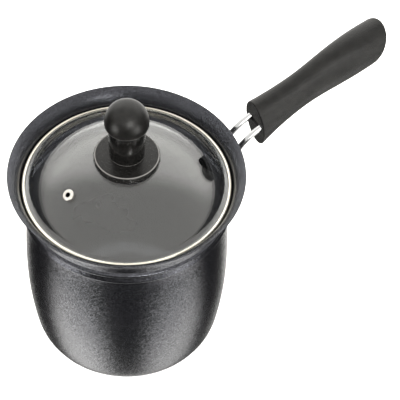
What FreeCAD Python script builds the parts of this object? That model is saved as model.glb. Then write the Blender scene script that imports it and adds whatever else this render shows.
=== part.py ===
import FreeCAD, Part
import math
import os

os.makedirs("parts", exist_ok=True)

# Tall one-handed saucepan with a domed glass lid.  Millimetres, +Z up, origin at the centre of the
# underside of the base, handle along +X.

# ---------------------------------------------------------------- driving dimensions
PAN_HEIGHT = 187.0         # base to the top of the brim
NECK_RADIUS = 84.8         # outside of the straight neck that surrounds the lid
WALL = 1.0                 # steel sheet of the pan

# pan, all radii on the outside of the sheet
BELLY_RADIUS = NECK_RADIUS - 1.4
BELLY_HEIGHT = 0.433 * PAN_HEIGHT      # where the barrel is widest
BELLY_ARC_LOW = 5.0 * NECK_RADIUS      # side-view radius of the barrel below the widest point
BELLY_ARC_HIGH = 7.1 * NECK_RADIUS     # and above it
BASE_CORNER = 22.0
BRIM_REACH = 8.7                       # how far the brim spreads beyond the neck
BRIM_TILT = 30.0                       # slope of the brim at its edge, degrees from level
LEDGE_DROP = 19.2                      # brim edge to the bend under the straight neck
LEDGE_BEND = 1.5
BEAD_ROUND = 1.9                       # outside radius of the two pressed beads
GROOVE_ROUND = 1.0
LEDGE_GROOVE_DEPTH = 3.2               # this groove forms the ledge that carries the lid
BEAD_GROOVE_DEPTH = 2.4
BEAD_1_DEPTH = 0.3                     # how far each bead stays inside the neck radius
BEAD_2_DEPTH = 0.8
BEAD_PITCH = 3.65                      # height step from groove to bead to groove
VALLEY_ROUND = 1.6                     # hollow bend between the barrel and the lower bead
VALLEY_CLEAR = 0.15

# lid
SEAT_GAP = 0.1                         # lid band above the ledge
BAND_CLEARANCE = 0.8                   # lid band inside the neck
BAND_SHEET = 0.5
BAND_HEIGHT = 7.8
BAND_BEND = 1.2
BAND_HEM = 0.6
BAND_HEM_RISE = 1.4
BAND_COVER = 2.4                       # width of the bright ring seen from above
CRIMP_DEPTH = 1.0
CRIMP_ROUND = 0.5
CRIMP_STEP = 1.4                       # crimp to the bend above it
GLASS = 4.0
GLASS_PLAY = 0.3                       # glass edge inside the band
GLASS_LIFT = 0.05                      # glass under the folded ring
GLASS_RISE = 32.0                      # crown above the flat rim of the glass
GLASS_FLAT = 2.7                       # width of the flat rim
GLASS_FILLET = 5.0
GLASS_BORE = 5.0                       # radius of the hole for the knob screw
GLASS_CORNER = 0.6                     # chamfer on the edge of the glass

VENT_PLACE = 0.635                     # vent, as a fraction of the neck's inside radius
VENT_ANGLE = 184.0                     # round the lid from the handle
VENT_BARREL = 3.0
VENT_BORE = 2.1
VENT_FLANGE = 4.6
VENT_SHEET = 0.5
VENT_ROUND = 0.4                       # edge of the upper flange
VENT_SAG = 0.3                         # lower flange under the curve of the glass

# knob
BASE_DISC_RADIUS = 25.9
BASE_DISC_EDGE = 4.8
BASE_DISC_CROWN = 1.1
BASE_DISC_ROUND = 1.4
KNOB_FOOT = 13.8
KNOB_NECK = 14.7
KNOB_STEM = 33.0                       # height of the stem
KNOB_BALL = 17.2
KNOB_BALL_SKIRT = 3.0                  # ball below its widest circle
KNOB_BALL_TOP = 18.5                   # ball above its widest circle
KNOB_EDGE_ROUND = 0.5
DISC_RIM_WIDTH = 2.5                   # ring of the disc that rests on the glass
GASKET = 1.0
GASKET_RADIUS = 13.0
SLEEVE_DEPTH = 1.8                     # collar of each gasket inside the bore of the glass
SLEEVE_PLAY = 0.1
WASHER = 1.2
WASHER_RADIUS = 11.0
SCREW = 2.5                            # M5 screws
SCREW_PLAY = 0.05                      # screw in its threaded insert
SCREW_HOLE = 2.8
SCREW_LEAD = 0.6                       # chamfer at the end of a screw
HEAD_RADIUS = 4.6
HEAD_HEIGHT = 3.0
RECESS_SIZE = 4.4
RECESS_WIDTH = 1.0
RECESS_DEPTH = 1.7
INSERT_RADIUS = 4.2
INSERT_GROOVE = 0.5
INSERT_SINK = 0.3                      # insert above the foot of the knob
KNOB_INSERT_LENGTH = 14.0
KNOB_SCREW_ENGAGE = 10.0

# handle
ROD = 2.5                              # radius of the chromed rod
ROD_SPREAD = 7.8                       # each leg from the middle plane
ROD_ARC = 57.0
ROD_RISE = 25.0                        # slope where the rods enter the grip, degrees
ROD_FLAT = 0.5                         # weld flat pressed into the rods
ROD_WELD = 16.0                        # straight length of rod on the saddle
SADDLE = 1.5
SADDLE_HALF_WIDTH = 19.0
SADDLE_MARGIN = 6.0
SADDLE_CORNER = 5.0
SADDLE_DROP = 66.0                     # middle of the saddle below the top of the brim
GRIP_LENGTH = 117.3
GRIP_END_RISE = 18.0                   # slope at the far end, degrees
GRIP_END_SLANT = 39.0                  # the end face leans back under the grip
GRIP_END_ROUND = 1.5
GRIP_FRONT_LEAN = 7.0                  # the front face leans towards the pan at its top
GRIP_FRONT_ROUND = 1.0
# place along the grip, half width, half height: everywhere taller than wide
GRIP_SECTIONS = (
    (-0.12, 15.9, 27.1),
    (0.05, 13.9, 20.7),
    (0.26, 12.5, 16.9),
    (0.42, 12.3, 16.5),
    (0.62, 13.9, 18.4),
    (0.84, 16.0, 18.6),
    (1.22, 14.6, 15.4),
)
SLOT_PLAY = 0.08                       # rod in its slot
ROD_INSIDE = 36.0                      # straight rod inside the grip, up to its closed end
SLOT_LEAD = 20.0                       # the slot's cutting tool starts this far before the grip
BUSH_PLAY = 0.1
GRIP_FLOOR = 4.4                       # material between the slot and the screw pocket
GRIP_INSERT_LENGTH = 6.5
GRIP_SCREW_SHORT = 1.0                 # screw ends below the top of its insert
INSERT_BED = 0.3                       # material between the slot and the insert
LOCK_WASHER = 1.2
LOCK_WASHER_RADIUS = 4.3
LOCK_WASHER_SPLIT = 0.8
POCKET_RADIUS = 5.2

AXIS = FreeCAD.Vector(0, 0, 1)
ORIGIN = FreeCAD.Vector(0, 0, 0)
FULL_TURN = 360.0
FAR = 60.0                             # size of tools that only have to reach past a piece
TINY = 1e-6


# ---------------------------------------------------------------- helpers
def at(r, z):
    return FreeCAD.Vector(r, 0, z)


def revolve(edges):
    wire = Part.Wire(Part.__sortEdges__(edges))
    return Part.Face(wire).revolve(ORIGIN, AXIS, FULL_TURN)


def closed_lines(points):
    return [Part.makeLine(a, b) for a, b in zip(points, points[1:] + points[:1])]


def ring(r_in, r_out, z_low, z_high):
    return revolve(closed_lines([at(r_in, z_low), at(r_out, z_low), at(r_out, z_high), at(r_in, z_high)]))


# A sheet-metal line is described by the circles it bends round: (r, z, k), k being the bend radius,
# positive for a left turn and negative for a right turn.  Moving the whole line sideways to the left
# by a distance only lessens every k by that distance.
def heading_between(first, second):
    dr = second[0] - first[0]
    dz = second[1] - first[1]
    turn = (first[2] - second[2]) / math.hypot(dr, dz)
    return math.atan2(dz, dr) + math.asin(max(-1.0, min(1.0, turn)))


def on_bend(bend, heading, left=0.0):
    reach = bend[2] - left
    return at(bend[0] + reach * math.sin(heading), bend[1] - reach * math.cos(heading))


def bent_line(bends, heading_in, heading_out, left=0.0):
    """Edges round the bends, and the first and last point."""
    headings = [heading_in]
    headings += [heading_between(a, b) for a, b in zip(bends, bends[1:])]
    headings += [heading_out]
    edges = []
    last = None
    for bend, h_in, h_out in zip(bends, headings, headings[1:]):
        p_in = on_bend(bend, h_in, left)
        p_mid = on_bend(bend, (h_in + h_out) / 2, left)
        p_out = on_bend(bend, h_out, left)
        if last is not None and last.distanceToPoint(p_in) > TINY:
            edges.append(Part.makeLine(last, p_in))
        edges.append(Part.Arc(p_in, p_mid, p_out).toShape())
        last = p_out
    return edges, on_bend(bends[0], heading_in, left), last


def cross_recess(top, up):
    """Tool for the cross in a screw head: top = centre of the head face, up = outward direction."""
    slot = Part.makeBox(RECESS_SIZE, RECESS_WIDTH, RECESS_DEPTH + 1,
                        FreeCAD.Vector(-RECESS_SIZE / 2, -RECESS_WIDTH / 2, -RECESS_DEPTH))
    cross = slot.fuse(slot.rotated(ORIGIN, AXIS, 90))
    return aligned(cross, top, up)


def aligned(shape, place, up):
    """Shape drawn along +Z at the origin, moved to a place and pointed along up."""
    turned = shape.copy()
    turned.Placement = FreeCAD.Placement(place, FreeCAD.Rotation(AXIS, up))
    return turned


def pan_head_screw(length):
    """Head on the outer side of z = 0, shank along +Z."""
    head = Part.makeCylinder(HEAD_RADIUS, HEAD_HEIGHT, FreeCAD.Vector(0, 0, -HEAD_HEIGHT))
    head = head.makeFillet(HEAD_HEIGHT / 2, [e for e in head.Edges if e.BoundBox.ZMax < -HEAD_HEIGHT / 2])
    shank = Part.makeCylinder(SCREW, length)
    shank = shank.makeChamfer(SCREW_LEAD, [e for e in shank.Edges if e.BoundBox.ZMin > length / 2])
    return head.fuse(shank).cut(cross_recess(FreeCAD.Vector(0, 0, -HEAD_HEIGHT), -AXIS)).removeSplitter()


# ---------------------------------------------------------------- pan body
brim_arc = BRIM_REACH / (1 - math.sin(math.radians(BRIM_TILT)))
brim_start = PAN_HEIGHT - (brim_arc + WALL) * math.cos(math.radians(BRIM_TILT))
ledge_z = PAN_HEIGHT - LEDGE_DROP
ledge_groove_z = ledge_z - BEAD_PITCH * 0.75
bead_1_z = ledge_groove_z - BEAD_PITCH
bead_groove_z = bead_1_z - BEAD_PITCH
bead_2_z = bead_groove_z - BEAD_PITCH
valley_z = bead_2_z - BEAD_PITCH

# the corner circle touches the lower barrel arc from inside
corner_centre = BELLY_RADIUS - BELLY_ARC_LOW + math.sqrt(
    (BELLY_ARC_LOW - BASE_CORNER) ** 2 - (BELLY_HEIGHT - BASE_CORNER) ** 2)
# the valley circle stands just clear of the upper barrel arc, outside it
valley_centre = BELLY_RADIUS - BELLY_ARC_HIGH + math.sqrt(
    (BELLY_ARC_HIGH + VALLEY_ROUND + VALLEY_CLEAR) ** 2 - (valley_z - BELLY_HEIGHT) ** 2)

ledge_groove_bend = (NECK_RADIUS - LEDGE_GROOVE_DEPTH + GROOVE_ROUND, ledge_groove_z, -GROOVE_ROUND)
ledge_bend = (NECK_RADIUS - LEDGE_BEND, ledge_z, LEDGE_BEND)
PAN_BENDS = [
    (corner_centre, BASE_CORNER, BASE_CORNER),
    (BELLY_RADIUS - BELLY_ARC_LOW, BELLY_HEIGHT, BELLY_ARC_LOW),
    (BELLY_RADIUS - BELLY_ARC_HIGH, BELLY_HEIGHT, BELLY_ARC_HIGH),
    (valley_centre, valley_z, -VALLEY_ROUND),
    (NECK_RADIUS - BEAD_2_DEPTH - BEAD_ROUND, bead_2_z, BEAD_ROUND),
    (NECK_RADIUS - BEAD_GROOVE_DEPTH + GROOVE_ROUND, bead_groove_z, -GROOVE_ROUND),
    (NECK_RADIUS - BEAD_1_DEPTH - BEAD_ROUND, bead_1_z, BEAD_ROUND),
    ledge_groove_bend,
    ledge_bend,
    (NECK_RADIUS + brim_arc, brim_start, -brim_arc),
]


def make_pan_body():
    lip = math.radians(BRIM_TILT)
    outer, outer_start, outer_end = bent_line(PAN_BENDS, 0.0, lip)
    inner, inner_start, inner_end = bent_line(PAN_BENDS, 0.0, lip, WALL)
    tip = (outer_end + inner_end) * 0.5 + at(math.cos(lip), math.sin(lip)) * (WALL / 2)
    edges = outer + inner
    edges.append(Part.makeLine(at(0, 0), outer_start))
    edges.append(Part.makeLine(at(0, WALL), inner_start))
    edges.append(Part.makeLine(at(0, 0), at(0, WALL)))
    edges.append(Part.Arc(outer_end, tip, inner_end).toShape())
    return revolve(edges)


# ---------------------------------------------------------------- lid band and glass
band_radius = NECK_RADIUS - WALL - BAND_CLEARANCE
hem_r = band_radius - BAND_HEM
ledge_slope = heading_between(ledge_groove_bend, ledge_bend)
ledge_point = on_bend(ledge_groove_bend, ledge_slope, WALL)
hem_z = (ledge_point.z + (hem_r - ledge_point.x) * math.tan(ledge_slope)
         + (BAND_HEM + SEAT_GAP) / math.cos(ledge_slope))
lid_z = hem_z - BAND_HEM + BAND_HEIGHT          # top of the bright ring

glass_edge = band_radius - BAND_SHEET - GLASS_PLAY
glass_top = lid_z - BAND_SHEET - GLASS_LIFT     # flat rim, upper face
crimp_reach = CRIMP_ROUND + BAND_SHEET
crimp_r = band_radius - CRIMP_DEPTH + CRIMP_ROUND
crimp_z = glass_top - GLASS - math.sqrt(crimp_reach ** 2 - (crimp_r - glass_edge) ** 2)


def make_lid_band():
    bends = [
        (band_radius - BAND_BEND, lid_z - BAND_BEND, -BAND_BEND),
        (band_radius - BAND_HEM, crimp_z + CRIMP_STEP, -BAND_HEM),
        (crimp_r, crimp_z, CRIMP_ROUND),
        (hem_r, hem_z, -BAND_HEM),
    ]
    up = -1.5 * math.pi
    outer, outer_start, outer_end = bent_line(bends, 0.0, up)
    inner, inner_start, inner_end = bent_line(bends, 0.0, up, -BAND_SHEET)
    ring_edge = band_radius - BAND_COVER
    hem_top = at(0, BAND_HEM_RISE)
    edges = outer + inner
    edges.append(Part.makeLine(at(ring_edge, outer_start.z), outer_start))
    edges.append(Part.makeLine(at(ring_edge, inner_start.z), inner_start))
    edges.append(Part.makeLine(at(ring_edge, outer_start.z), at(ring_edge, inner_start.z)))
    edges.append(Part.makeLine(outer_end, outer_end + hem_top))
    edges.append(Part.makeLine(inner_end, inner_end + hem_top))
    edges.append(Part.makeLine(outer_end + hem_top, inner_end + hem_top))
    return revolve(edges)


# The dome is a sphere that runs into the flat rim through a fillet.
dome_foot = glass_edge - GLASS_FLAT
dome_radius = (dome_foot ** 2 + GLASS_RISE ** 2) / (2 * GLASS_RISE) - GLASS_FILLET
crown = glass_top + GLASS_RISE
dome_centre = crown - dome_radius
GLASS_BENDS = [
    (0.0, dome_centre, -dome_radius),
    (dome_foot, glass_top + GLASS_FILLET, GLASS_FILLET),
]


def dome_height(r, below=0.0):
    """Height of the dome at a distance from the axis, on a sphere set below the upper face."""
    return dome_centre + math.sqrt((dome_radius - below) ** 2 - r * r)


def dome_layer(r_in, r_out, above, thickness):
    """Ring of even thickness on the dome; above is the height of its lower face over the glass top."""
    low = -above
    high = -above - thickness

    def arc(below):
        ends = [at(r, dome_height(r, below)) for r in (r_in, (r_in + r_out) / 2, r_out)]
        return Part.Arc(*ends).toShape(), ends[0], ends[2]

    arc_low, a, b = arc(low)
    arc_high, d, c = arc(high)
    return revolve([arc_low, arc_high, Part.makeLine(a, d), Part.makeLine(b, c)])


vent_r = VENT_PLACE * (NECK_RADIUS - WALL)
vent_tilt = math.asin(vent_r / dome_radius)
vent_turn = math.radians(VENT_ANGLE)
vent_up = FreeCAD.Vector(math.sin(vent_tilt) * math.cos(vent_turn),
                         math.sin(vent_tilt) * math.sin(vent_turn),
                         math.cos(vent_tilt))
vent_place = FreeCAD.Vector(0, 0, dome_centre) + vent_up * dome_radius


def make_lid_glass():
    top, top_start, top_end = bent_line(GLASS_BENDS, 0.0, 0.0)
    low, low_start, low_end = bent_line(GLASS_BENDS, 0.0, 0.0, -GLASS)
    rim = glass_edge - GLASS_CORNER
    middle = glass_top - GLASS / 2
    edges = top + low
    edges.append(Part.makeLine(top_start, low_start))
    edges.append(Part.makeLine(top_end, at(rim, glass_top)))
    edges.append(Part.makeLine(low_end, at(rim, glass_top - GLASS)))
    edges.append(Part.makeLine(at(rim, glass_top), at(glass_edge, glass_top - GLASS_CORNER)))
    edges.append(Part.makeLine(at(rim, glass_top - GLASS), at(glass_edge, glass_top - GLASS + GLASS_CORNER)))
    edges.append(Part.makeLine(at(glass_edge, glass_top - GLASS_CORNER),
                               at(glass_edge, glass_top - GLASS + GLASS_CORNER)))
    glass = revolve(edges)
    bore = Part.makeCylinder(GLASS_BORE, GLASS_RISE, at(0, crown - GLASS_RISE / 2))
    vent = Part.makeCylinder(VENT_BARREL, 4 * GLASS, FreeCAD.Vector(0, 0, -2 * GLASS))
    return glass.cut(bore).cut(aligned(vent, vent_place, vent_up))


def make_vent_eyelet(glass):
    barrel = Part.makeCylinder(VENT_BARREL, GLASS + 2, FreeCAD.Vector(0, 0, -GLASS - 1))
    top = Part.makeCylinder(VENT_FLANGE, 1 + VENT_SHEET, FreeCAD.Vector(0, 0, -1))
    top = top.makeFillet(VENT_ROUND, [e for e in top.Edges if e.BoundBox.ZMin > 0])
    low = Part.makeCylinder(VENT_FLANGE - VENT_ROUND, 1 + VENT_SHEET,
                            FreeCAD.Vector(0, 0, -GLASS - VENT_SHEET - VENT_SAG))
    bore = Part.makeCylinder(VENT_BORE, 4 * GLASS, FreeCAD.Vector(0, 0, -2 * GLASS))
    cap = Part.makeCylinder(VENT_FLANGE, 2, FreeCAD.Vector(0, 0, VENT_SHEET))
    eyelet = barrel.fuse(top).fuse(low).cut(bore).cut(cap)
    eyelet = aligned(eyelet, vent_place, vent_up)
    return eyelet.cut(glass).removeSplitter()


# ---------------------------------------------------------------- knob and its fixings
disc_rim_z = dome_height(BASE_DISC_RADIUS)
foot_z = disc_rim_z + BASE_DISC_EDGE + BASE_DISC_CROWN


def make_knob_base():
    r_step = BASE_DISC_RADIUS - DISC_RIM_WIDTH
    r_mid = (SCREW_HOLE + r_step) / 2
    bed = [at(r, dome_height(r, -GASKET)) for r in (SCREW_HOLE, r_mid, r_step)]
    rim = [at(r, dome_height(r)) for r in (r_step, r_step + DISC_RIM_WIDTH / 2, BASE_DISC_RADIUS)]
    edge_top = disc_rim_z + BASE_DISC_EDGE
    round_in = at(BASE_DISC_RADIUS - BASE_DISC_ROUND, edge_top)
    round_out = at(BASE_DISC_RADIUS, edge_top - BASE_DISC_ROUND)
    bulge = BASE_DISC_ROUND * (1 - math.sqrt(0.5))
    round_mid = at(BASE_DISC_RADIUS - bulge, edge_top - bulge)
    edges = [Part.Arc(*bed).toShape(), Part.Arc(*rim).toShape()]
    edges.append(Part.makeLine(bed[2], rim[0]))
    edges.append(Part.makeLine(rim[2], round_out))
    edges.append(Part.Arc(round_out, round_mid, round_in).toShape())
    edges.append(Part.makeLine(round_in, at(KNOB_FOOT, foot_z)))
    edges.append(Part.makeLine(at(KNOB_FOOT, foot_z), at(SCREW_HOLE, foot_z)))
    edges.append(Part.makeLine(at(SCREW_HOLE, foot_z), bed[0]))
    return revolve(edges)


def insert_outline(length, r_bore):
    """Half section of a threaded insert with one holding groove, standing on z = 0."""
    third = length / 3
    r_groove = INSERT_RADIUS - INSERT_GROOVE
    points = [
        at(r_bore, 0), at(INSERT_RADIUS, 0), at(INSERT_RADIUS, third), at(r_groove, third),
        at(r_groove, 2 * third), at(INSERT_RADIUS, 2 * third), at(INSERT_RADIUS, length), at(r_bore, length),
    ]
    return revolve(closed_lines(points))


def make_knob_insert(solid=False):
    insert = insert_outline(KNOB_INSERT_LENGTH, 0.0 if solid else SCREW + SCREW_PLAY)
    return insert.translated(at(0, foot_z + INSERT_SINK))


def make_knob():
    stem_top = foot_z + KNOB_STEM
    widest = stem_top + KNOB_BALL_SKIRT
    ellipse = Part.Ellipse(at(0, widest + KNOB_BALL_TOP), at(KNOB_BALL, widest), at(0, widest))
    turn = math.acos(-KNOB_BALL_SKIRT / KNOB_BALL_TOP)
    ball = Part.ArcOfEllipse(ellipse, 0, turn).toShape()
    skirt = at(KNOB_BALL * math.sin(turn), stem_top)
    edges = [ball]
    edges.append(Part.makeLine(skirt, at(KNOB_NECK, stem_top)))
    edges.append(Part.makeLine(at(KNOB_NECK, stem_top), at(KNOB_FOOT, foot_z)))
    edges.append(Part.makeLine(at(KNOB_FOOT, foot_z), at(0, foot_z)))
    edges.append(Part.makeLine(at(0, foot_z), at(0, widest + KNOB_BALL_TOP)))
    knob = revolve(edges)
    edge = [e for e in knob.Edges if len(e.Vertexes) == 1 and abs(e.BoundBox.ZMax - e.BoundBox.ZMin) < TINY]
    knob = knob.makeFillet(KNOB_EDGE_ROUND, [e for e in edge if e.BoundBox.XMax > KNOB_FOOT - TINY])
    tap = Part.makeCylinder(SCREW_HOLE, KNOB_INSERT_LENGTH + 4 * INSERT_SINK, at(0, foot_z))
    return knob.cut(make_knob_insert(solid=True)).cut(tap)


def make_gasket(above, reach, sleeve_z):
    """Silicone washer on the dome with a short collar inside the bore of the glass."""
    collar = ring(SCREW_HOLE, GLASS_BORE - SLEEVE_PLAY, sleeve_z, sleeve_z + SLEEVE_DEPTH)
    disc = dome_layer(SCREW_HOLE, reach, above, GASKET)
    return disc.fuse(collar).removeSplitter()


washer_above = -GLASS - GASKET - WASHER
head_z = dome_height(HEAD_RADIUS, -washer_above)


def make_knob_screw():
    screw = pan_head_screw(foot_z + KNOB_SCREW_ENGAGE - head_z)
    return screw.translated(at(0, head_z))


# ---------------------------------------------------------------- handle
def belly_radius(z, out=0.0):
    """Outside radius of the pan above its widest place, and of sheets laid on it."""
    arc = BELLY_ARC_HIGH + out
    return BELLY_RADIUS - BELLY_ARC_HIGH + math.sqrt(arc ** 2 - (z - BELLY_HEIGHT) ** 2)


saddle_z = PAN_HEIGHT - SADDLE_DROP
saddle_half = ROD_WELD / 2 + SADDLE_MARGIN
rod_lean = math.asin((saddle_z - BELLY_HEIGHT) / BELLY_ARC_HIGH)
rod_start_heading = math.pi / 2 + rod_lean
rod_end_heading = math.radians(ROD_RISE)
rod_normal = at(math.cos(rod_lean), math.sin(rod_lean))
rod_tangent = at(-math.sin(rod_lean), math.cos(rod_lean))
weld_x = math.sqrt(belly_radius(saddle_z, SADDLE) ** 2 - ROD_SPREAD ** 2)
weld_mid = at(weld_x, saddle_z) + rod_normal * (ROD - ROD_FLAT)
rod_foot = weld_mid - rod_tangent * (ROD_WELD / 2)
bend_foot = weld_mid + rod_tangent * (ROD_WELD / 2)
rod_turn = rod_start_heading - rod_end_heading
grip_front = bend_foot + at(
    ROD_ARC * (math.sin(rod_start_heading) - math.sin(rod_end_heading)),
    ROD_ARC * (math.cos(rod_end_heading) - math.cos(rod_start_heading)))
grip_along = at(math.cos(rod_end_heading), math.sin(rod_end_heading))
grip_up = at(-math.sin(rod_end_heading), math.cos(rod_end_heading))
loop_place = grip_front + grip_along * ROD_INSIDE
Y = FreeCAD.Vector(0, 1, 0)


def make_handle_saddle():
    low = saddle_z - saddle_half
    high = saddle_z + saddle_half

    def arc(out):
        return [at(belly_radius(z, out), z) for z in (low, saddle_z, high)]

    a = arc(0.0)
    b = arc(SADDLE)
    edges = [Part.Arc(*a).toShape(), Part.Arc(*b).toShape()]
    edges.append(Part.makeLine(a[0], b[0]))
    edges.append(Part.makeLine(a[2], b[2]))
    hoop = revolve(edges)
    blank = Part.makeBox(BELLY_RADIUS, 2 * SADDLE_HALF_WIDTH, 2 * saddle_half,
                         FreeCAD.Vector(BELLY_RADIUS / 2, -SADDLE_HALF_WIDTH, low))
    corners = [e for e in blank.Edges if e.BoundBox.XLength > BELLY_RADIUS / 2]
    return hoop.common(blank.makeFillet(SADDLE_CORNER, corners))


def make_handle_rod(saddle):
    """One length of rod: a leg up the saddle, the long bend, into the grip, round and back."""
    bend_centre = bend_foot + rod_normal * ROD_ARC
    leg = Part.makeCylinder(ROD, ROD_WELD, rod_foot, rod_tangent)
    disc = Part.Face(Part.Wire(Part.makeCircle(ROD, bend_foot, rod_tangent)))
    bend = disc.revolve(bend_centre, Y, math.degrees(rod_turn))
    inside = Part.makeCylinder(ROD, ROD_INSIDE, grip_front, grip_along)
    half = leg.fuse(bend).fuse(inside)
    left = half.translated(Y * ROD_SPREAD)
    right = half.translated(Y * -ROD_SPREAD)
    end = Part.Face(Part.Wire(Part.makeCircle(ROD, loop_place + Y * -ROD_SPREAD, grip_along)))
    loop = end.revolve(loop_place, grip_up, 180)
    return left.fuse(loop).fuse(right).cut(saddle).removeSplitter()


def grip_station(t):
    """Centre and upward direction of the grip's cross-section at a fraction of its length."""
    fall = math.radians(ROD_RISE - GRIP_END_RISE)
    arc = GRIP_LENGTH / fall
    heading = rod_end_heading - fall * t
    centre = grip_front + at(arc * (math.sin(rod_end_heading) - math.sin(heading)),
                             arc * (math.cos(heading) - math.cos(rod_end_heading)))
    return centre, heading


def grip_section(t, half_width, half_height):
    centre, heading = grip_station(t)
    up = at(-math.sin(heading), math.cos(heading))
    oval = Part.Ellipse(centre + up * half_height, centre + Y * half_width, centre)
    return Part.Wire(oval.toShape())


def slot_tool():
    """Room for the rod inside the grip."""
    reach = ROD + SLOT_PLAY
    start = grip_front - grip_along * SLOT_LEAD
    run = ROD_INSIDE + SLOT_LEAD
    tool = Part.makeCylinder(reach, run, start + Y * ROD_SPREAD, grip_along)
    tool = tool.fuse(Part.makeCylinder(reach, run, start - Y * ROD_SPREAD, grip_along))
    flat = Part.makeBox(run, 2 * ROD_SPREAD, 2 * reach, FreeCAD.Vector(0, -ROD_SPREAD, -reach))
    flat.Placement = FreeCAD.Placement(start, FreeCAD.Rotation(Y, -ROD_RISE))
    disc = Part.makeCylinder(ROD_SPREAD, 2 * reach, loop_place - grip_up * reach, grip_up)
    end = Part.Face(Part.Wire(Part.makeCircle(reach, loop_place + Y * -ROD_SPREAD, grip_along)))
    loop = end.revolve(loop_place, grip_up, 180)
    return tool.fuse(flat).fuse(disc).fuse(loop)


slot_half = ROD + SLOT_PLAY
floor_drop = slot_half + GRIP_FLOOR
insert_rise = slot_half + INSERT_BED


def make_grip_insert(solid=False):
    insert = insert_outline(GRIP_INSERT_LENGTH, 0.0 if solid else SCREW + SCREW_PLAY)
    return aligned(insert, loop_place + grip_up * insert_rise, grip_up)


def make_handle_grip():
    grip = Part.makeLoft([grip_section(*s) for s in GRIP_SECTIONS], True, False)
    beyond = Part.makeBox(2 * FAR, 2 * FAR, FAR, FreeCAD.Vector(-FAR, -FAR, 0))
    lean = math.radians(GRIP_FRONT_LEAN)
    grip = grip.cut(aligned(beyond, grip_front, at(-math.cos(lean), -math.sin(lean))))
    centre, heading = grip_station(1.0)
    out = heading - math.radians(GRIP_END_SLANT)
    grip = grip.cut(aligned(beyond, centre, at(math.cos(out), math.sin(out))))
    front_face = min(grip.Faces, key=lambda f: f.CenterOfMass.x)
    grip = grip.makeFillet(GRIP_FRONT_ROUND, front_face.Edges)
    end_face = max(grip.Faces, key=lambda f: f.CenterOfMass.x)
    grip = grip.makeFillet(GRIP_END_ROUND, end_face.Edges)
    pocket = Part.makeCylinder(POCKET_RADIUS, FAR, loop_place - grip_up * floor_drop, -grip_up)
    hole = Part.makeCylinder(SCREW_HOLE, floor_drop + insert_rise, loop_place - grip_up * floor_drop, grip_up)
    return grip.cut(slot_tool()).cut(pocket).cut(hole).cut(make_grip_insert(solid=True))


def make_grip_bush():
    bush = ring(SCREW_HOLE, ROD_SPREAD - ROD - BUSH_PLAY, -ROD, ROD)
    return aligned(bush, loop_place, grip_up)


def make_lock_washer():
    washer = ring(SCREW_HOLE, LOCK_WASHER_RADIUS, 0, LOCK_WASHER)
    split = Part.makeBox(LOCK_WASHER_RADIUS, LOCK_WASHER_SPLIT, 3 * LOCK_WASHER,
                         FreeCAD.Vector(0, -LOCK_WASHER_SPLIT / 2, -LOCK_WASHER))
    return aligned(washer.cut(split), loop_place - grip_up * (floor_drop + LOCK_WASHER), grip_up)


def make_grip_screw():
    length = floor_drop + LOCK_WASHER + insert_rise + GRIP_INSERT_LENGTH - GRIP_SCREW_SHORT
    return aligned(pan_head_screw(length), loop_place - grip_up * (floor_drop + LOCK_WASHER), grip_up)


# ---------------------------------------------------------------- nodes
saddle_shape = make_handle_saddle()
glass_shape = make_lid_glass()
NODES = {
    "pan_body": make_pan_body(),
    "handle_saddle": saddle_shape,
    "handle_rod": make_handle_rod(saddle_shape),
    "handle_grip": make_handle_grip(),
    "grip_bush": make_grip_bush(),
    "grip_insert": make_grip_insert(),
    "grip_lock_washer": make_lock_washer(),
    "grip_screw": make_grip_screw(),
    "lid_glass": glass_shape,
    "lid_band": make_lid_band(),
    "vent_eyelet": make_vent_eyelet(glass_shape),
    "knob_base": make_knob_base(),
    "knob": make_knob(),
    "knob_insert": make_knob_insert(),
    "knob_gasket_top": make_gasket(0.0, GASKET_RADIUS, crown - SLEEVE_DEPTH),
    "knob_gasket_low": make_gasket(-GLASS - GASKET, WASHER_RADIUS, crown - GLASS - GASKET / 2),
    "knob_washer": dome_layer(SCREW_HOLE, WASHER_RADIUS, washer_above, WASHER),
    "knob_screw": make_knob_screw(),
}

for name, shape in NODES.items():
    node = shape.Solids[0] if len(shape.Solids) == 1 else shape
    node.exportStep("parts/" + name + ".step")
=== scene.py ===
import math

import bmesh
import bpy
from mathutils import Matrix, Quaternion, Vector


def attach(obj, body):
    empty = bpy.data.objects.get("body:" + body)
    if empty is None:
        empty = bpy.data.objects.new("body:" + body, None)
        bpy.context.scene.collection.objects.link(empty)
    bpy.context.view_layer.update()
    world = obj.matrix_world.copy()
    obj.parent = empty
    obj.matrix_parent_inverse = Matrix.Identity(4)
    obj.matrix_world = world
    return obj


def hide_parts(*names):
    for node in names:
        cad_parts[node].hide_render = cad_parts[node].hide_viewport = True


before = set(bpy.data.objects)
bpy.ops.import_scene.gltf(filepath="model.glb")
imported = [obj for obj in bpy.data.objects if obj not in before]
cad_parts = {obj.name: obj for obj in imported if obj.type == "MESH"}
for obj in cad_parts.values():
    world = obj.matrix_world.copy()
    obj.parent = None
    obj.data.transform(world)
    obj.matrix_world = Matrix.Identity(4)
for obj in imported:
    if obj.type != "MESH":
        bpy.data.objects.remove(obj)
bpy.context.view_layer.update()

# ---------------------------------------------------------------- the view
# A long lens looks down into the pan from the front left, at about fifty degrees. The camera leans a
# little to one side.
LENS = 136.63
SENSOR_WIDTH = 36
VIEWPOINT = Vector((-0.3632, -0.6831, 1.0923))
AIM = Vector((0.0451, -0.0378, 0.1668))
CAMERA_ROLL = math.radians(3.13)

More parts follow.
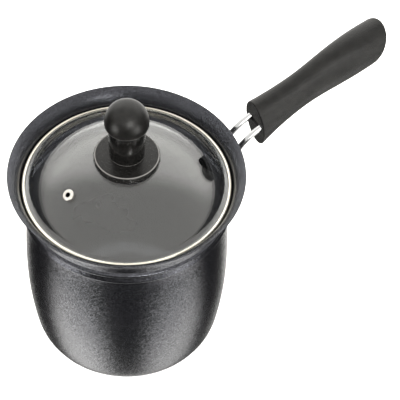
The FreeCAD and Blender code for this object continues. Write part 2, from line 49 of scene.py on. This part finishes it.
camera = bpy.data.objects.new("camera", bpy.data.cameras.new("camera"))
camera.data.lens = LENS
camera.data.sensor_width = SENSOR_WIDTH
camera.location = VIEWPOINT
camera.rotation_mode = "QUATERNION"
level_aim = (AIM - VIEWPOINT).to_track_quat("-Z", "Y")
camera.rotation_quaternion = level_aim @ Quaternion((0, 0, 1), CAMERA_ROLL)
bpy.context.scene.collection.objects.link(camera)
bpy.context.scene.camera = camera
bpy.context.scene.view_settings.view_transform = "Standard"


# ---------------------------------------------------------------- studio
# A white table under a bright ceiling, with a bright wall beyond it. Nothing here is a lamp: all the
# light comes from soft glows in the surroundings. Those low behind the viewer, to the left and the
# right, draw the two broad streaks down the barrel.
def shader_node(tree, kind, settings=None, sockets=None):
    """A node with its settings; each socket gets a value or the output that feeds it."""
    made = tree.nodes.new("ShaderNode" + kind)
    for name, value in (settings or {}).items():
        setattr(made, name, value)
    for name, value in (sockets or {}).items():
        if isinstance(value, bpy.types.NodeSocket):
            tree.links.new(value, made.inputs[name])
        else:
            made.inputs[name].default_value = value
    return made


def new_material(name):
    """A material with its node tree and its Principled shader."""
    made = bpy.data.materials.new(name)
    made.use_nodes = True
    return made, made.node_tree, made.node_tree.nodes["Principled BSDF"]


def object_place(tree):
    """The place of each point on the object, in metres."""
    return shader_node(tree, "TexCoord").outputs["Object"]


AWAY = math.atan2(AIM.y - VIEWPOINT.y, AIM.x - VIEWPOINT.x)


def from_viewer(turn, rise):
    """Direction turned clockwise from the way the viewer looks, and raised above the level."""
    heading = AWAY - math.radians(turn)
    up = math.radians(rise)
    return (math.cos(heading) * math.cos(up), math.sin(heading) * math.cos(up), math.sin(up))


CEILING_LIGHT = 1.9
FLOOR_LIGHT = 0.015
CEILING_STARTS = 0.1
CEILING_FULL = 0.42
WARM_WHITE = (1.0, 0.986, 0.95, 1)
# turn and rise in degrees, half width of the even middle and of the whole glow, brightness
GLOWS = {
    "wall beyond": (0, 8, 48, 72, 1.8),
    "table beyond": (0, -52, 4, 30, 0.75),
    "over the right shoulder": (156, 22, 3, 18, 16.0),
    "soft box left": (-128, -12, 5, 20, 9.0),
    "soft box right": (128, -12, 5, 20, 9.0),
    "lit table left": (-121, -59, 8, 23, 4.1),
    "lit table right": (117, -58, 8, 23, 3.4),
    "table straight below": (180, -90, 4, 22, 1.1),
}
studio = bpy.data.worlds.new("studio")
studio.use_nodes = True
bpy.context.scene.world = studio
sky = studio.node_tree
direction = shader_node(sky, "TexCoord").outputs["Generated"]
upward = shader_node(sky, "SeparateXYZ", None, {0: direction}).outputs["Z"]
light = shader_node(sky, "MapRange", {"interpolation_type": "SMOOTHSTEP"}, {
    "Value": upward, "From Min": CEILING_STARTS, "From Max": CEILING_FULL,
    "To Min": FLOOR_LIGHT, "To Max": CEILING_LIGHT}).outputs["Result"]
for turn, rise, inside, outside, brightness in GLOWS.values():
    facing = shader_node(sky, "VectorMath", {"operation": "DOT_PRODUCT"}, {
        0: direction, 1: from_viewer(turn, rise)}).outputs["Value"]
    glow = shader_node(sky, "MapRange", {"interpolation_type": "SMOOTHSTEP"}, {
        "Value": facing, "From Min": math.cos(math.radians(outside)),
        "From Max": math.cos(math.radians(inside)), "To Max": brightness}).outputs["Result"]
    light = shader_node(sky, "Math", {"operation": "ADD"}, {0: light, 1: glow}).outputs["Value"]
sky.links.new(light, sky.nodes["Background"].inputs["Strength"])
sky.nodes["Background"].inputs["Color"].default_value = WARM_WHITE

TABLE_WIDTH = 30
TABLE_GLOW = 0.6
bpy.ops.mesh.primitive_plane_add(size=TABLE_WIDTH)
table = bpy.context.object
table.name = "table"
table_white, tree, shader = new_material("table_white")
grain = shader_node(tree, "TexNoise", None, {
    "Vector": object_place(tree), "Scale": 6.0, "Detail": 3.0}).outputs["Fac"]
tone = shader_node(tree, "MapRange", None, {
    "Value": grain, "To Min": 0.88, "To Max": 0.92}).outputs["Result"]
shade = shader_node(tree, "CombineColor", None, {0: tone, 1: tone, 2: tone}).outputs["Color"]
tree.links.new(shade, shader.inputs["Base Color"])
shader.inputs["Roughness"].default_value = 0.9
shader.inputs["Specular IOR Level"].default_value = 0.1
shader.inputs["Emission Color"].default_value = (1, 1, 1, 1)
shader.inputs["Emission Strength"].default_value = TABLE_GLOW
table.data.materials.append(table_white)
table.visible_glossy = False


# ---------------------------------------------------------------- pan body
# One piece of steel sheet, deep drawn, with two beads and the lid ledge rolled under a wide flared
# brim. It is coated all over with a dark metallic paint baked on, full of fine flake.
SAME_PLACE = 0.001
BEND_STEP_TURN = 11
BEND_STEP_LENGTH = 7.0
LATHE_STEPS = 256
FLOOR_RINGS = 8
MILLIMETRE = 0.001


def heading_between(first, second):
    """Heading of the straight from one bend to the next; a bend's radius is positive to the left."""
    run = math.hypot(second[0] - first[0], second[1] - first[1])
    turn = (first[2] - second[2]) / run
    level = math.atan2(second[1] - first[1], second[0] - first[0])
    return level + math.asin(max(-1.0, min(1.0, turn)))


def on_bend(bend, heading, left=0.0):
    """The place on a bend where the sheet has a heading, on a face moved to the left of the section."""
    reach = bend[2] - left
    return Vector((bend[0] + reach * math.sin(heading), 0, bend[1] - reach * math.cos(heading)))


def straight(mesh, a, b):
    """A straight stretch of the section; lathe() welds the ends that meet."""
    return mesh.edges.new((mesh.verts.new(a), mesh.verts.new(b)))


def round_bend(mesh, centre, start, turn):
    """Spins a point of the section about a bend's centre, and gives the place where it ends."""
    length = abs(turn) * (start - centre).length
    by_turn = math.ceil(abs(math.degrees(turn)) / BEND_STEP_TURN)
    by_length = math.ceil(length / BEND_STEP_LENGTH)
    steps = max(2, by_turn, by_length)
    spun = bmesh.ops.spin(mesh, geom=[mesh.verts.new(start)], cent=centre, axis=(0, -1, 0),
                          angle=turn, steps=steps)
    return next(g for g in spun["geom_last"] if isinstance(g, bmesh.types.BMVert)).co.copy()


def bent_sheet(mesh, bends, heading_in, heading_out, left=0.0):
    """Draws one face of a bent sheet round its bends, and gives its first and last place."""
    headings = [heading_in] + [heading_between(a, b) for a, b in zip(bends, bends[1:])] + [heading_out]
    last = None
    for bend, into, out in zip(bends, headings, headings[1:]):
        start = on_bend(bend, into, left)
        if last is not None and (last - start).length > SAME_PLACE:
            straight(mesh, last, start)
        last = round_bend(mesh, Vector((bend[0], 0, bend[1])), start, out - into)
    return on_bend(bends[0], heading_in, left), last


def lathe(mesh):
    """Spins the section a full turn about the axis, closes the poles and turns the faces outwards."""
    bmesh.ops.spin(mesh, geom=mesh.verts[:] + mesh.edges[:], cent=(0, 0, 0), axis=(0, 0, 1),
                   angle=2 * math.pi, steps=LATHE_STEPS, use_merge=True)
    bmesh.ops.remove_doubles(mesh, verts=mesh.verts, dist=SAME_PLACE)
    bmesh.ops.recalc_face_normals(mesh, faces=mesh.faces)


def as_piece(name, mesh, finish, sharp=40):
    """The finished piece, drawn in millimetres and brought to metres; sharp is in degrees."""
    bmesh.ops.scale(mesh, vec=(MILLIMETRE, MILLIMETRE, MILLIMETRE), verts=mesh.verts)
    for edge in mesh.edges:
        edge.smooth = len(edge.link_faces) < 2 or edge.calc_face_angle(0) < math.radians(sharp)
    data = bpy.data.meshes.new(name)
    mesh.to_mesh(data)
    mesh.free()
    data.shade_smooth()
    data.materials.append(finish)
    piece = bpy.data.objects.new(name, data)
    bpy.context.scene.collection.objects.link(piece)
    return piece


PAN_HEIGHT = 187.0
NECK = 84.8
WALL = 1.0
BELLY_INSET = 1.4
BELLY = NECK - BELLY_INSET
BELLY_HEIGHT = 0.433 * PAN_HEIGHT
ARC_LOW = 5.0 * NECK
ARC_HIGH = 7.1 * NECK
BASE_CORNER = 22.0
BRIM_REACH = 8.7
BRIM_TILT = math.radians(30)
BRIM_ARC = BRIM_REACH / (1 - math.sin(BRIM_TILT))
LEDGE_DROP = 19.2
LEDGE_BEND = 1.5
LEDGE_GROOVE_DEPTH = 3.2
LEDGE_GROOVE_STEP = 0.75
GROOVE_ROUND = 1.0
BEAD_GROOVE_DEPTH = 2.4
BEAD_ROUND = 1.9
BEAD_1_DEPTH = 0.3
BEAD_2_DEPTH = 0.8
BEAD_PITCH = 3.65
VALLEY_ROUND = 1.6
VALLEY_CLEAR = 0.15
ledge = PAN_HEIGHT - LEDGE_DROP
ledge_groove, bead_1, bead_groove, bead_2, valley = (
    ledge - BEAD_PITCH * (LEDGE_GROOVE_STEP + step) for step in range(5))
corner_centre = BELLY - ARC_LOW + math.sqrt(
    (ARC_LOW - BASE_CORNER) ** 2 - (BELLY_HEIGHT - BASE_CORNER) ** 2)
valley_centre = BELLY - ARC_HIGH + math.sqrt(
    (ARC_HIGH + VALLEY_ROUND + VALLEY_CLEAR) ** 2 - (valley - BELLY_HEIGHT) ** 2)
# radius and height of each bend's centre, and its radius, from the base up to the brim
PAN_BENDS = (
    (corner_centre, BASE_CORNER, BASE_CORNER),
    (BELLY - ARC_LOW, BELLY_HEIGHT, ARC_LOW),
    (BELLY - ARC_HIGH, BELLY_HEIGHT, ARC_HIGH),
    (valley_centre, valley, -VALLEY_ROUND),
    (NECK - BEAD_2_DEPTH - BEAD_ROUND, bead_2, BEAD_ROUND),
    (NECK - BEAD_GROOVE_DEPTH + GROOVE_ROUND, bead_groove, -GROOVE_ROUND),
    (NECK - BEAD_1_DEPTH - BEAD_ROUND, bead_1, BEAD_ROUND),
    (NECK - LEDGE_GROOVE_DEPTH + GROOVE_ROUND, ledge_groove, -GROOVE_ROUND),
    (NECK - LEDGE_BEND, ledge, LEDGE_BEND),
    (NECK + BRIM_ARC, PAN_HEIGHT - (BRIM_ARC + WALL) * math.cos(BRIM_TILT), -BRIM_ARC),
)


def noise_between(tree, place, scale, low, high, detail=3.0):
    """A smooth random value that stays between low and high."""
    noise = shader_node(tree, "TexNoise", None, {"Vector": place, "Scale": scale, "Detail": detail})
    return shader_node(tree, "MapRange", None, {
        "Value": noise.outputs["Fac"], "From Min": 0.3, "From Max": 0.7, "To Min": low, "To Max": high,
    }).outputs["Result"]


def varied_colour(tree, place, scale, dark, light, detail=3.0):
    """A colour that wanders between dark and light."""
    return shader_node(tree, "Mix", {"data_type": "RGBA"}, {
        0: noise_between(tree, place, scale, 0.0, 1.0, detail), 6: (*dark, 1), 7: (*light, 1)}).outputs[2]


def give_colour(tree, shader, place, scale, dark, light, detail=3.0):
    """Gives the surface a colour that wanders between dark and light."""
    tree.links.new(varied_colour(tree, place, scale, dark, light, detail), shader.inputs["Base Color"])


def give_roughness(tree, shader, place, scale, low, high):
    """Gives the surface a roughness that wanders between low and high."""
    tree.links.new(noise_between(tree, place, scale, low, high), shader.inputs["Roughness"])


FLAKE_SCALE = 1300.0
FLAKE_LEAN = 0.14
FLECK_SCALE = 1000.0
SPOT_WELDS = ((0.0815, -0.0086, 0.125), (0.0815, 0.0086, 0.125))
DENT_FLAT = 0.0012
DENT_EDGE = 0.0026
DENT_DEPTH = 0.00015
pan_paint, tree, shader = new_material("pan_paint")
place = object_place(tree)
give_colour(tree, shader, place, FLECK_SCALE, (0.007, 0.0073, 0.0088), (0.062, 0.064, 0.074), 2.0)
give_roughness(tree, shader, place, 14.0, 0.23, 0.28)
flake = shader_node(tree, "TexVoronoi", None, {"Vector": place, "Scale": FLAKE_SCALE})
lean = shader_node(tree, "VectorMath", {"operation": "SUBTRACT"}, {
    0: flake.outputs["Color"], 1: (0.5, 0.5, 0.5)})
lean = shader_node(tree, "VectorMath", {"operation": "SCALE"}, {
    0: lean.outputs["Vector"], "Scale": FLAKE_LEAN})

# the two spot welds of the saddle show through on the inside of the wall
dents = 0.0
for spot in SPOT_WELDS:
    away = shader_node(tree, "VectorMath", {"operation": "DISTANCE"}, {0: place, 1: spot})
    dent = shader_node(tree, "MapRange", {"interpolation_type": "SMOOTHSTEP"}, {
        "Value": away.outputs["Value"], "From Min": DENT_FLAT, "From Max": DENT_EDGE,
        "To Min": -1.0, "To Max": 0.0})
    dents = shader_node(tree, "Math", {"operation": "ADD"}, {
        0: dents, 1: dent.outputs["Result"]}).outputs["Value"]
dented = shader_node(tree, "Bump", None, {"Strength": 1.0, "Distance": DENT_DEPTH, "Height": dents})
facing = shader_node(tree, "VectorMath", {"operation": "ADD"}, {
    0: dented.outputs["Normal"], 1: lean.outputs["Vector"]})
facing = shader_node(tree, "VectorMath", {"operation": "NORMALIZE"}, {0: facing.outputs["Vector"]})
tree.links.new(facing.outputs["Vector"], shader.inputs["Normal"])
shader.inputs["Metallic"].default_value = 0.85
shader.inputs["Coat Weight"].default_value = 0.06
shader.inputs["Coat Roughness"].default_value = 0.25

mesh = bmesh.new()
outer_foot, outer_lip = bent_sheet(mesh, PAN_BENDS, 0.0, BRIM_TILT)
inner_foot, inner_lip = bent_sheet(mesh, PAN_BENDS, 0.0, BRIM_TILT, WALL)
round_bend(mesh, (outer_lip + inner_lip) / 2, outer_lip, math.pi)
for foot in (outer_foot, inner_foot):
    bmesh.ops.subdivide_edges(mesh, edges=[straight(mesh, (0, 0, foot.z), foot)], cuts=FLOOR_RINGS)
lathe(mesh)
pan = as_piece("pan_body_coated", mesh, pan_paint)
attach(pan, "pan")
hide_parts("pan_body")


# ---------------------------------------------------------------- saddle
# A small plate of steel, curved to the barrel and spot-welded to it. The two legs of the rod lie on
# it and are held by a bead of weld along each side.
def stretched(tree, scale):
    """Object coordinates stretched along the axes, for brushed and drawn grain."""
    return shader_node(tree, "Mapping", None, {
        "Vector": object_place(tree), "Scale": scale}).outputs["Vector"]


def bumped(tree, shader, height, depth):
    """Lets a height between 0 and 1 move the surface by a depth in metres."""
    bump = shader_node(tree, "Bump", None, {"Strength": 1.0, "Distance": depth, "Height": height})
    tree.links.new(bump.outputs["Normal"], shader.inputs["Normal"])


def give_relief(tree, shader, place, scale, depth):
    """Gives the surface a random relief of a depth in metres."""
    bumped(tree, shader, noise_between(tree, place, scale, 0.0, 1.0), depth)


def dress(name, finish):
    """Gives a carried-over node its finish."""
    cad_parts[name].material_slots[0].material = finish


satin_steel, tree, shader = new_material("satin_steel")
drawn = stretched(tree, (1.0, 1.0, 9.0))
give_colour(tree, shader, drawn, 160.0, (0.30, 0.29, 0.275), (0.42, 0.405, 0.38))
give_roughness(tree, shader, drawn, 420.0, 0.26, 0.42)
give_relief(tree, shader, drawn, 700.0, 0.00001)
shader.inputs["Metallic"].default_value = 1.0
dress("handle_saddle", satin_steel)

weld_metal, tree, shader = new_material("weld_metal")
place = object_place(tree)
give_colour(tree, shader, place, 300.0, (0.30, 0.27, 0.25), (0.58, 0.55, 0.50))
give_roughness(tree, shader, place, 900.0, 0.3, 0.5)
give_relief(tree, shader, place, 1500.0, 0.00003)
shader.inputs["Metallic"].default_value = 1.0

SADDLE = 1.5
SADDLE_DROP = 66.0
ROD_SPREAD = 7.8
WELD_ROWS = 11
WELD_STEP = 1.35
WELD_SIZE = 1.15
WELD_SHAPE = (0.75, 0.9, 0.8)
WELD_ASIDE = 2.35
saddle_middle = PAN_HEIGHT - SADDLE_DROP
above_belly = saddle_middle - BELLY_HEIGHT
leg_lean = math.asin(above_belly / ARC_HIGH)
up_the_leg = Vector((-math.sin(leg_lean), 0, math.cos(leg_lean)))
saddle_face = BELLY - ARC_HIGH + math.sqrt((ARC_HIGH + SADDLE) ** 2 - above_belly ** 2)

mesh = bmesh.new()
for leg in (-ROD_SPREAD, ROD_SPREAD):
    for side in (-WELD_ASIDE, WELD_ASIDE):
        across = leg + side
        face = math.sqrt(saddle_face ** 2 - across ** 2)
        for row in range(WELD_ROWS):
            along = (row - (WELD_ROWS - 1) / 2) * WELD_STEP
            drop = bmesh.ops.create_icosphere(mesh, subdivisions=3, radius=WELD_SIZE)["verts"]
            bmesh.ops.scale(mesh, vec=WELD_SHAPE, verts=drop)
            bmesh.ops.translate(mesh, verts=drop,
                                vec=Vector((face, across, saddle_middle)) + up_the_leg * along)
welds = as_piece("saddle_welds", mesh, weld_metal, sharp=50)
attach(welds, "pan")


# ---------------------------------------------------------------- handle rod
# One length of steel rod, bent to a hairpin, polished and chromium plated. The plating follows the
# slight waves that polishing leaves.
chrome, tree, shader = new_material("chrome")
place = object_place(tree)
give_colour(tree, shader, place, 45.0, (0.32, 0.325, 0.33), (0.42, 0.42, 0.425))
give_roughness(tree, shader, place, 240.0, 0.11, 0.19)
give_relief(tree, shader, place, 90.0, 0.00002)
shader.inputs["Metallic"].default_value = 1.0
dress("handle_rod", chrome)


# ---------------------------------------------------------------- handle grip
# A black phenolic moulding, waisted in the middle, slipped over the closed end of the rod. Its skin is
# matt with a fine moulded grain.
grip_resin, tree, shader = new_material("grip_resin")
place = object_place(tree)
give_colour(tree, shader, place, 130.0, (0.0045, 0.0044, 0.0042), (0.010, 0.0097, 0.0092))
give_roughness(tree, shader, place, 60.0, 0.29, 0.35)
give_relief(tree, shader, place, 1100.0, 0.00014)
shader.inputs["Specular IOR Level"].default_value = 0.15
dress("handle_grip", grip_resin)


# ---------------------------------------------------------------- grip fixings
# A zinc-plated screw from below, with a split washer, passes the bush inside the rod's loop and turns
# into a brass insert moulded in the grip.
zinc_plate, tree, shader = new_material("zinc_plate")
place = object_place(tree)
give_colour(tree, shader, place, 350.0, (0.50, 0.52, 0.55), (0.72, 0.73, 0.74))
give_roughness(tree, shader, place, 900.0, 0.26, 0.44)
give_relief(tree, shader, place, 2000.0, 0.00002)
shader.inputs["Metallic"].default_value = 1.0

turned_brass, tree, shader = new_material("turned_brass")
give_colour(tree, shader, object_place(tree), 250.0, (0.58, 0.40, 0.15), (0.78, 0.58, 0.26))
give_roughness(tree, shader, stretched(tree, (1.0, 1.0, 14.0)), 500.0, 0.2, 0.38)
give_relief(tree, shader, stretched(tree, (0.2, 0.2, 12.0)), 900.0, 0.00002)
shader.inputs["Metallic"].default_value = 1.0

dress("grip_bush", zinc_plate)
dress("grip_lock_washer", zinc_plate)
dress("grip_screw", zinc_plate)
dress("grip_insert", turned_brass)


# ---------------------------------------------------------------- lid glass
# A pressed and toughened glass dome with a flat rim, and a hole each for the knob screw and the vent.
# Shadow rays pass straight through it, so that the inside of the pan is lit.
clear_glass, tree, shader = new_material("clear_glass")
give_colour(tree, shader, object_place(tree), 25.0, (0.95, 0.965, 0.957), (0.962, 0.975, 0.968))
shader.inputs["Roughness"].default_value = 0.0
shader.inputs["Transmission Weight"].default_value = 1.0
shader.inputs["IOR"].default_value = 1.5
ray = shader_node(tree, "LightPath")
through = shader_node(tree, "BsdfTransparent")
glazing = shader_node(tree, "MixShader", None, {
    0: ray.outputs["Is Shadow Ray"], 1: shader.outputs["BSDF"], 2: through.outputs["BSDF"]})
tree.links.new(glazing.outputs["Shader"], tree.nodes["Material Output"].inputs["Surface"])
dress("lid_glass", clear_glass)


# ---------------------------------------------------------------- lid band
# A ring of thin stainless strip, rolled over the edge of the glass and crimped under it. The spinning
# tool leaves fine lines round it.
def round_the_axis(tree, along, out, up):
    """Coordinates that run round the axis, outwards and up, each with its own scale."""
    part = shader_node(tree, "SeparateXYZ", None, {0: object_place(tree)})
    turn = shader_node(tree, "Math", {"operation": "ARCTAN2"}, {
        0: part.outputs["Y"], 1: part.outputs["X"]})
    level = shader_node(tree, "CombineXYZ", None, {0: part.outputs["X"], 1: part.outputs["Y"]})
    reach = shader_node(tree, "VectorMath", {"operation": "LENGTH"}, {0: level.outputs["Vector"]})
    joined = shader_node(tree, "CombineXYZ", None, {
        0: turn.outputs["Value"], 1: reach.outputs["Value"], 2: part.outputs["Z"]})
    return shader_node(tree, "Mapping", None, {
        "Vector": joined.outputs["Vector"], "Scale": (along, out, up)}).outputs["Vector"]


spun_steel, tree, shader = new_material("spun_steel")
lines = round_the_axis(tree, 0.004, 1.0, 1.0)
give_colour(tree, shader, lines, 900.0, (0.40, 0.38, 0.325), (0.58, 0.555, 0.485))
give_roughness(tree, shader, lines, 1400.0, 0.32, 0.46)
give_relief(tree, shader, lines, 2200.0, 0.00003)
shader.inputs["Metallic"].default_value = 1.0
dress("lid_band", spun_steel)


# ---------------------------------------------------------------- vent eyelet
# A small steel tube through the glass, rolled over on both faces. The rolling tool leaves it polished,
# so it has colour and gloss that vary but no relief.
eyelet_steel, tree, shader = new_material("eyelet_steel")
place = object_place(tree)
give_colour(tree, shader, place, 400.0, (0.44, 0.42, 0.39), (0.62, 0.60, 0.56))
give_roughness(tree, shader, place, 700.0, 0.12, 0.24)
shader.inputs["Metallic"].default_value = 1.0
dress("vent_eyelet", eyelet_steel)


# ---------------------------------------------------------------- knob base
# A phenolic disc, hollowed under its face, that sits on the dome and carries the knob. Its upper edge
# carries a painted highlight: a thin pale line in the colour where light catches the rounded edge.
# the pale colour of the painted highlights on the knob's edges
PAINTED_HIGHLIGHT_PALE = (0.16, 0.155, 0.15, 1)
DISC_EDGE = 0.0249
DISC_EDGE_HIGHLIGHT_WIDTH = 0.0006


def thin_line(tree, value, middle, half_width):
    """1 where a value is near the middle, falling to 0 at the half width."""
    off = shader_node(tree, "Math", {"operation": "SUBTRACT"}, {0: value, 1: middle}).outputs["Value"]
    off = shader_node(tree, "Math", {"operation": "ABSOLUTE"}, {0: off}).outputs["Value"]
    return shader_node(tree, "MapRange", {"interpolation_type": "SMOOTHSTEP"}, {
        "Value": off, "From Min": half_width / 3, "From Max": half_width, "To Min": 1.0, "To Max": 0.0,
    }).outputs["Result"]


def give_colour_with_painted_highlight(tree, shader, amount, resin):
    """Gives the surface its own colour, with a pale painted highlight mixed in by an amount."""
    highlighted_colour = shader_node(tree, "Mix", {"data_type": "RGBA"}, {0: amount, 6: resin, 7: PAINTED_HIGHLIGHT_PALE})
    tree.links.new(highlighted_colour.outputs[2], shader.inputs["Base Color"])


base_resin, tree, shader = new_material("base_resin")
place = object_place(tree)
level = shader_node(tree, "VectorMath", {"operation": "MULTIPLY"}, {0: place, 1: (1, 1, 0)})
reach = shader_node(tree, "VectorMath", {"operation": "LENGTH"}, {0: level.outputs["Vector"]})
# a thin pale ring at the disc's upper edge, a painted highlight
edge_highlight = thin_line(tree, reach.outputs["Value"], DISC_EDGE, DISC_EDGE_HIGHLIGHT_WIDTH)
resin = varied_colour(tree, place, 220.0, (0.004, 0.0039, 0.0037), (0.010, 0.0096, 0.0092))
give_colour_with_painted_highlight(tree, shader, edge_highlight, resin)
give_roughness(tree, shader, round_the_axis(tree, 0.01, 1.0, 1.0), 700.0, 0.2, 0.3)
give_relief(tree, shader, place, 1200.0, 0.00002)
shader.inputs["Specular IOR Level"].default_value = 0.14
dress("knob_base", base_resin)


# ---------------------------------------------------------------- knob
# A phenolic moulding in two finishes: the stem comes polished from the mould, the ball is satin. Thin
# painted highlights, pale lines in the colour, run round the seam between them and round the foot.
SEAM_HEIGHT = 0.2424
SEAM_BLEND = 0.0002
SEAM_HIGHLIGHT_WIDTH = 0.0005
FOOT_HEIGHT = 0.2095
FOOT_HIGHLIGHT_WIDTH = 0.0006
POLISHED = 0.03
knob_resin, tree, shader = new_material("knob_resin")
place = object_place(tree)
height = shader_node(tree, "SeparateXYZ", None, {0: place}).outputs["Z"]
satin = shader_node(tree, "MapRange", None, {
    "Value": height, "From Min": SEAM_HEIGHT - SEAM_BLEND,
    "From Max": SEAM_HEIGHT + SEAM_BLEND}).outputs["Result"]
rough = shader_node(tree, "Mix", None, {
    0: satin, 2: POLISHED, 3: noise_between(tree, place, 90.0, 0.30, 0.38)})
tree.links.new(rough.outputs[0], shader.inputs["Roughness"])
# the pale lines at the seam and at the foot are painted highlights
edge_highlight = shader_node(tree, "Math", {"operation": "MAXIMUM"}, {
    0: thin_line(tree, height, SEAM_HEIGHT, SEAM_HIGHLIGHT_WIDTH),
    1: thin_line(tree, height, FOOT_HEIGHT, FOOT_HIGHLIGHT_WIDTH)}).outputs["Value"]
resin = varied_colour(tree, place, 200.0, (0.003, 0.003, 0.0028), (0.008, 0.0076, 0.0072))
give_colour_with_painted_highlight(tree, shader, edge_highlight, resin)
satin_relief = shader_node(tree, "Math", {"operation": "MULTIPLY"}, {
    0: noise_between(tree, place, 1800.0, 0.0, 1.0), 1: satin}).outputs["Value"]
bumped(tree, shader, satin_relief, 0.00004)
shader.inputs["Specular IOR Level"].default_value = 0.2
dress("knob", knob_resin)


# ---------------------------------------------------------------- knob fixings
# A screw from below, with a steel washer and two silicone gaskets that keep the metal off the glass,
# turns into the brass insert in the stem.
silicone, tree, shader = new_material("silicone")
place = object_place(tree)
give_colour(tree, shader, place, 180.0, (0.55, 0.54, 0.50), (0.66, 0.65, 0.61))
give_roughness(tree, shader, place, 500.0, 0.45, 0.6)
give_relief(tree, shader, place, 900.0, 0.00003)
shader.inputs["Subsurface Weight"].default_value = 0.2
shader.inputs["Subsurface Scale"].default_value = 0.001
dress("knob_insert", turned_brass)
dress("knob_gasket_top", silicone)
dress("knob_gasket_low", silicone)
dress("knob_washer", satin_steel)
dress("knob_screw", zinc_plate)
